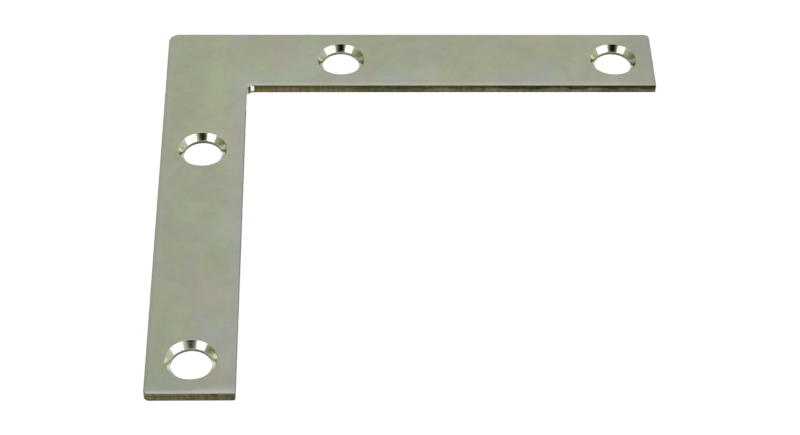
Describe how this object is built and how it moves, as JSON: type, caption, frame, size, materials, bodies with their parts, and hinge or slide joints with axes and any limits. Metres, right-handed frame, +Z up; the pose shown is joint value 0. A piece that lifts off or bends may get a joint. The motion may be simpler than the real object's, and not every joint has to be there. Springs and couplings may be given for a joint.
{
  "type": "flat corner brace",
  "caption": "Flat L-shaped steel corner brace with countersunk screw holes along both arms, for holding a frame's corner square.",
  "frame": {"origin": "on the flat underside, where the centrelines of the two arms cross", "axes": "+Z up out of the countersunk top face, one arm along +X and the other along -Y, the outer corner towards -X and +Y"},
  "size_m": [0.1, 0.1, 0.002],
  "materials": {
    "zinc_plated_steel": "satin zinc plating with a faint yellow-green passivate, and bright countersinks"
  },
  "bodies": {
    "root": {"corner_brace": "zinc_plated_steel"}
  },
  "joints": []
}
